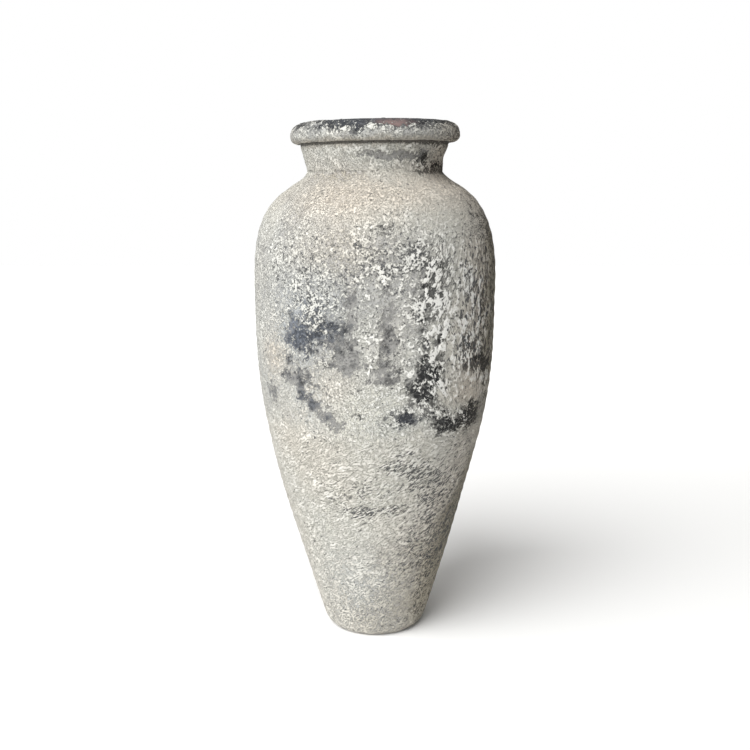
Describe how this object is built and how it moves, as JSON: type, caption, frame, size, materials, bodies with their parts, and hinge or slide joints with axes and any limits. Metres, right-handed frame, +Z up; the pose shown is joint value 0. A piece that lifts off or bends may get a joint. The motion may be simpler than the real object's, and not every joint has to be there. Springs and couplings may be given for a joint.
{
  "type": "vase",
  "caption": "Tall narrow-footed clay jar with a broad high shoulder, a short flared neck, a rolled rim and a worn lime-washed finish.",
  "frame": {"origin": "centre of the flat underside, on the surface that the vase stands on", "axes": "+Z runs up the vase's axis to the mouth; the vase is round, and the side that the picture shows faces -Y, with +X to its right"},
  "size_m": [0.372, 0.372, 0.8],
  "materials": {
    "lime_washed_clay": "chalky grey-beige lime wash, worn through to slate-grey clay, with a raised crackled crust",
    "worn_rim_clay": "dark slate-grey fired clay with lime left in patches",
    "bare_dark_clay": "unwashed dark fired clay, matt"
  },
  "bodies": {
    "root": {"floor_slab": "lime_washed_clay", "floor_coil": "bare_dark_clay", "foot_wall": "lime_washed_clay", "lower_wall": "lime_washed_clay", "belly_wall": "lime_washed_clay", "shoulder_wall": "lime_washed_clay", "neck_collar": "lime_washed_clay", "rim_coil": "worn_rim_clay"}
  },
  "joints": []
}
